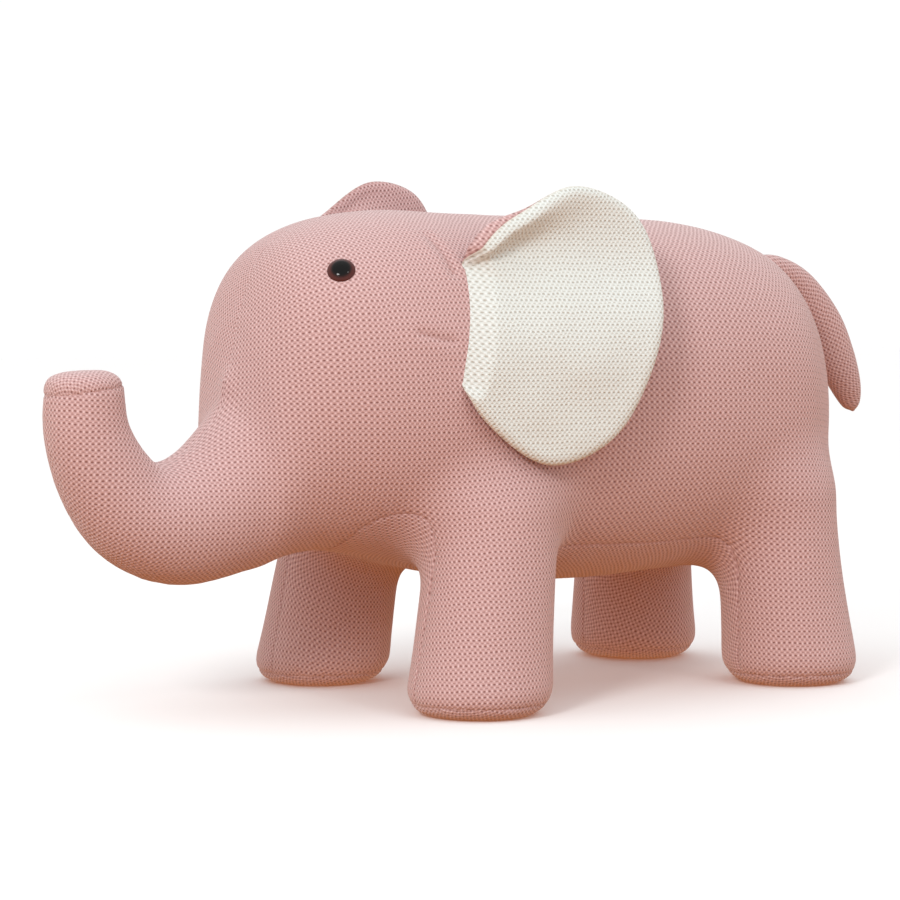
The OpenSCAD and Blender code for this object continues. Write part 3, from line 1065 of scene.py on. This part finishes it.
def ease(value, low, high):
    """0 below low, 1 above high, with a smooth step between."""
    t = np.clip((value - low) / (high - low), 0, 1)
    return t * t * (3 - 2 * t)


def ear_bend(flat, beyond):
    """How far out of the flat the ear's sheet stands, as it slopes out to the lip on its front edge."""
    away, run = line_distance(flat, spline(EAR_LIP, 10))
    away = np.where(beyond, -away, away)
    width = 6 + 0.56 * run
    crest = 0.35 * np.minimum(width, 22)
    height = LIP_H * (1 - np.exp(-run / LIP_RISE)) * (1 - ease(run, *LIP_FADE))
    fall = np.clip((away - crest) / (width - crest), 0, 1)
    valley = (1 - fall) ** 5 * (1 + 5 * fall)
    curl = 1 - 0.45 * (np.minimum(away - crest, 0) / (crest + 8)) ** 2
    return height * np.where(away > crest, valley, curl)


def ear_surface(flat, depth, tilt):
    """Places points of the flat ear, in mm, with depth out of its middle sheet, on the left of the head."""
    c, s = math.cos(tilt), math.sin(tilt)
    u, v = flat[:, 0] * c - flat[:, 1] * s, flat[:, 0] * s + flat[:, 1] * c
    climb = np.maximum((v + EAR_ROOT_HALF) / (2 * EAR_ROOT_HALF), 0) ** EAR_ROOT_BEND
    eased = climb / (1 + climb ** EAR_ROOT_EASE) ** (1 / EAR_ROOT_EASE)
    out = EAR_ROOT[1] + EAR_T / 2 + EAR_GAP - EAR_ROOT_IN * eased
    return np.stack([
        EAR_ROOT[0] + u * math.cos(EAR_ANGLE) - depth * math.sin(EAR_ANGLE),
        -(out + u * math.sin(EAR_ANGLE) + depth * math.cos(EAR_ANGLE)),
        EAR_ROOT[2] + v,
    ], 1)


def ear_piece(side, face, tilt, material, head):
    """One cover of an ear: face +1 is the white lining, which faces out, and -1 the pink back."""
    outline = loop_spline(EAR, 22)
    count = len(outline)
    out = outline - EAR_MIDDLE
    out /= np.linalg.norm(out, axis=1)[:, None]
    gap, run = line_distance(outline, spline(EAR_LIP, 10))
    fold = FOLD * ease(run, *FOLD_IN) * (1 - ease(run, *FOLD_OUT)) * np.exp(-((gap / FOLD_REACH) ** 2))
    flat, depth = [EAR_MIDDLE[None]], [np.array([face * EAR_T / 2])]
    roll = EDGE_ROLL + FOLD_ROLL * fold
    thick = EAR_T / 2 * (1 + 0.5 * fold)
    turned = np.pi / 2 + fold * FOLD_TURN
    if face == 1:
        inner = outline - roll[:, None] * out
    else:
        inner = outline - (roll * np.sin(turned))[:, None] * out
    for q in 1 - (1 - np.linspace(0, 1, EAR_RINGS)[1:]) ** 1.25:
        flat.append(EAR_MIDDLE + (inner - EAR_MIDDLE) * q)
        depth.append(face * (EAR_T / 2 + (thick - EAR_T / 2) * q ** 4))
    for b in np.linspace(0, 1, EDGE_RINGS)[1:]:
        if face == 1:
            flat.append(outline - (roll * (1 - b))[:, None] * out)
            depth.append(thick * np.sqrt(1 - (np.sin(turned) * b) ** 2))
        else:
            flat.append(inner + (roll * np.sin(turned * b))[:, None] * out)
            depth.append(-thick * np.cos(turned * b))
    flat, depth = np.vstack(flat), np.concatenate(depth)
    closed = np.vstack([outline, outline[:1]])
    edge = line_distance(flat, closed)[0]
    beyond = ((flat[1:].reshape(-1, count, 2) - outline) * out).sum(2).ravel() > 0
    beyond = np.concatenate([[False], beyond])
    soft = np.array([
        noise.noise(Vector((p[0] / EAR_LUMP_SIZE, p[1] / EAR_LUMP_SIZE, 4.5 + side))) for p in flat
    ])
    depth = depth + ear_bend(flat, beyond) + EAR_LUMP * soft * ease(edge, 0, 20)
    points = ear_surface(flat, depth, tilt) * MM
    points[:, 1] *= -side
    base = 1 - ease(line_distance(flat, spline(EAR_BASE, 8))[0], 0, SEWN_REACH)
    for i in np.flatnonzero(base > 0):
        x, y, z = points[i]
        at = head.ray_cast(Vector((x, 0.3 * side, z)), Vector((0, -side, 0)))[0]
        points[i, 1] += SEWN_SHARE * base[i] * (at.y - 0.001 * side - y)
    faces = disc_faces(count, len(flat) // count)
    # The outline runs anticlockwise as seen from outside the left ear
    if face * side == 1:
        faces = [f[::-1] for f in faces]
    name = f"ear_{SIDE_NAMES[side]}_{'white' if face == 1 else 'pink'}_cover"
    mesh = bpy.data.meshes.new(name)
    mesh.from_pydata([tuple(p) for p in points], [], faces)
    give_pattern(mesh, flat[read(mesh.loops, "vertex_index")])
    # Painted shade along the rim seam between the ear's two covers
    give_values(mesh, "seam", EAR_SEAM_PAINTED_SHADE * np.exp(-((edge / EAR_SEAM_W) ** 2)))
    piece = smooth_object(name, mesh, material)
    mesh.validate()
    return piece


# ---- tail
# The tail's middle line: x, z, half thickness, and its half width as a share of TAIL_HALF_W
TAIL = [
    (256, 339, 8, 0.5), (277, 341, 8.5, 0.55), (298, 338, 11, 0.8), (325, 323, 14, 0.95), (351, 292, 18, 1),
    (366, 262, 19, 1), (378, 238, 15, 0.88), (385, 221, 9, 0.55), (387.5, 214, 1, 0.1),
]
TAIL_HALF_W = 13
TAIL_SIDES = 40
# How dark the painted shade along the tail's edge seam is, and how wide
TAIL_SEAM_PAINTED_SHADE = 0.3
TAIL_SEAM_W = 1.5
# How many rows of the line's points belong to the collar, and how far the leaf reaches back into it
COLLAR_ROWS = 12
LEAF_OVERLAP = 3


def tail_piece(name, rows, material):
    """A stretch of the tail: its rows of the curve through TAIL."""
    line = spline(TAIL, 9)[rows]
    way = np.gradient(line[:, :2], axis=0)
    way /= np.linalg.norm(way, axis=1)[:, None]
    travelled = np.concatenate([[0], np.cumsum(np.linalg.norm(np.diff(line[:, :2], axis=0), axis=1))])
    points, uv, seam = [], [], []
    for (x, z, r, w), (dx, dz), run in zip(line, way, travelled):
        for i in range(TAIL_SIDES):
            a = 2 * math.pi * i / TAIL_SIDES
            around = abs(math.cos(a))
            squeeze = 1 - 0.10 * max(0, 1 - around * max(r, 1) / 3)
            across = math.cos(a) * max(w, 0.02) * TAIL_HALF_W * squeeze
            out = math.sin(a) * max(r, 0.3)
            points.append((x + out * dz, across, z - out * dx))
            uv.append((a * 0.5 * (r + w * TAIL_HALF_W), run))
            # Painted shade along the seam at the tail's edges
            seam.append(TAIL_SEAM_PAINTED_SHADE * math.exp(-((around * max(r, 3) / TAIL_SEAM_W) ** 2)))
    faces, corners = [], []
    for k in range(len(line) - 1):
        for i in range(TAIL_SIDES):
            j = (i + 1) % TAIL_SIDES
            here, there = k * TAIL_SIDES, (k + 1) * TAIL_SIDES
            face = (here + i, here + j, there + j, there + i)
            faces.append(face)
            # Past the last side the pattern goes on to a full turn, not back to 0
            full = 2 * math.pi if j == 0 else 0
            for q, wrap in zip(face, (0, full, full, 0)):
                r, w = line[q // TAIL_SIDES][2:]
                corners.append((uv[q][0] + wrap * 0.5 * (r + w * TAIL_HALF_W), uv[q][1]))
    faces.append(tuple(range(TAIL_SIDES))[::-1])
    faces.append(tuple((len(line) - 1) * TAIL_SIDES + i for i in range(TAIL_SIDES)))
    corners += [uv[i] for i in faces[-2]] + [uv[i] for i in faces[-1]]
    mesh = bpy.data.meshes.new(name)
    mesh.from_pydata([tuple(c * MM for c in p) for p in points], [], faces)
    give_pattern(mesh, np.array(corners))
    give_values(mesh, "seam", seam)
    return smooth_object(name, mesh, material)


# ---- studio, in metres
LENS = 112
SENSOR = 36
CAMERA_AT = (-1.286, -1.8353, 0.3107)
CAMERA_AZIMUTH = math.radians(-34.162)
CAMERA_ELEVATION = math.radians(3.055)
FLOOR_HALF = 12
FLOOR_COLOURS = (0.97, 0.965, 0.96, 1), (0.985, 0.98, 0.98, 1)
# The sky's colour below, the heights between which it turns white, and its strength
SKY_BELOW = (0.56, 0.21, 0.045, 1)
SKY_TURNS = (-0.28, -0.01)
SKY_STRENGTH = 1.03
# Lamps: name, place, what it points at, size, power, colour
LAMPS = [
    ("key", (-2.3, -1.5, 1.6), (-0.1, 0, 0.2), 0.6, 32, (1, 0.99, 0.98)),
    ("second", (0.1, -2.4, 2.0), (-0.1, 0, 0.25), 0.25, 5, (1, 0.99, 0.98)),
]


def set_up(name, data, place, way):
    """Puts a camera or lamp in the scene, facing along way."""
    obj = bpy.data.objects.new(name, data)
    obj.location = place
    obj.rotation_mode = "QUATERNION"
    obj.rotation_quaternion = way.to_track_quat("-Z", "Y")
    bpy.context.scene.collection.objects.link(obj)
    return obj


def studio():
    """The camera, the lamps, the sky and the floor."""
    level = math.cos(CAMERA_ELEVATION)
    back = Vector((
        math.sin(CAMERA_AZIMUTH) * level, -math.cos(CAMERA_AZIMUTH) * level, math.sin(CAMERA_ELEVATION)
    ))
    camera = set_up("camera", bpy.data.cameras.new("camera"), CAMERA_AT, -back)
    camera.data.lens = LENS
    camera.data.sensor_width = SENSOR
    camera.data.clip_end = 60
    bpy.context.scene.camera = camera
    bpy.context.scene.view_settings.view_transform = "Standard"
    for name, place, aim, size, power, colour in LAMPS:
        lamp = set_up(name, bpy.data.lights.new(name, "AREA"), place, Vector(aim) - Vector(place))
        lamp.data.size = size
        lamp.data.energy = power
        lamp.data.color = colour
    sky()
    mesh = bpy.data.meshes.new("floor")
    rim = [(x * FLOOR_HALF, y * FLOOR_HALF, 0) for x, y in ((-1, -1), (1, -1), (1, 1), (-1, 1))]
    mesh.from_pydata(rim, [], [(0, 1, 2, 3)])
    n = Nodes(bpy.data.materials.new("floor"))
    where = n.put("ShaderNodeTexCoord").outputs["Object"]
    n.give("Base Color", n.mix(n.noise(where, 3.0), *FLOOR_COLOURS))
    n.give("Roughness", 0.9)
    mesh.materials.append(n.owner)
    floor = new_object("floor", mesh)
    # The light from below comes from the sky's lower half, which is dim and warm
    floor.visible_diffuse = False
    floor.visible_glossy = False
    floor.visible_shadow = False


def sky():
    """White from the level up, dim and warm below."""
    world = bpy.data.worlds.new("studio")
    n = Nodes(world, "Background")
    parts = n.put("ShaderNodeSeparateXYZ")
    n.join(n.put("ShaderNodeTexCoord").outputs["Generated"], parts.inputs[0])
    n.give("Color", n.mix(n.smooth(parts.outputs[2], *SKY_TURNS), SKY_BELOW, (1, 1, 1, 1)))
    n.give("Strength", SKY_STRENGTH)
    bpy.context.scene.world = world


studio()

# ---- assembly
cover = dressed_cover()
for index, name in enumerate(PANELS):
    piece = panel_piece(cover, index, name + "_knit", pink_knit)
    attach(piece, "torso")
    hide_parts(name)

corners = read(cover.loops, "vertex_index").reshape(-1, 4)
head = bvhtree.BVHTree.FromPolygons(vertex_points(cover).tolist(), corners.tolist())
# The right ear stands a little higher than the left one
for side, tilt in ((LEFT, 0.0), (RIGHT, math.radians(8))):
    ear = f"ear_{SIDE_NAMES[side]}"
    for face, material in ((1, white_knit), (-1, pink_knit)):
        piece = ear_piece(side, face, tilt, material, head)
        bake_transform(piece)
        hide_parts(ear + ("_lining" if face == 1 else "_outer"), ear + "_wadding")

collar = tail_piece("tail_collar", slice(0, COLLAR_ROWS), pink_knit)
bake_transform(collar)
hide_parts("tail_root")
tail = tail_piece("tail_leaf", slice(COLLAR_ROWS - LEAF_OVERLAP, None), pink_knit)
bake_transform(tail)
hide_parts("tail_cover", "tail_filling")

for side, word in SIDE_NAMES.items():
    eye = eye_piece(side, eye_gloss)
    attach(eye, "torso")
    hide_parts("eye_" + word)

for name, region in FILLINGS.items():
    filling = filling_piece(name, region)
    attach(filling, "torso")
    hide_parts(name)

for word in SIDE_NAMES.values():
    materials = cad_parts["eye_washer_" + word].data.materials
    materials.clear()
    materials.append(washer_plastic)
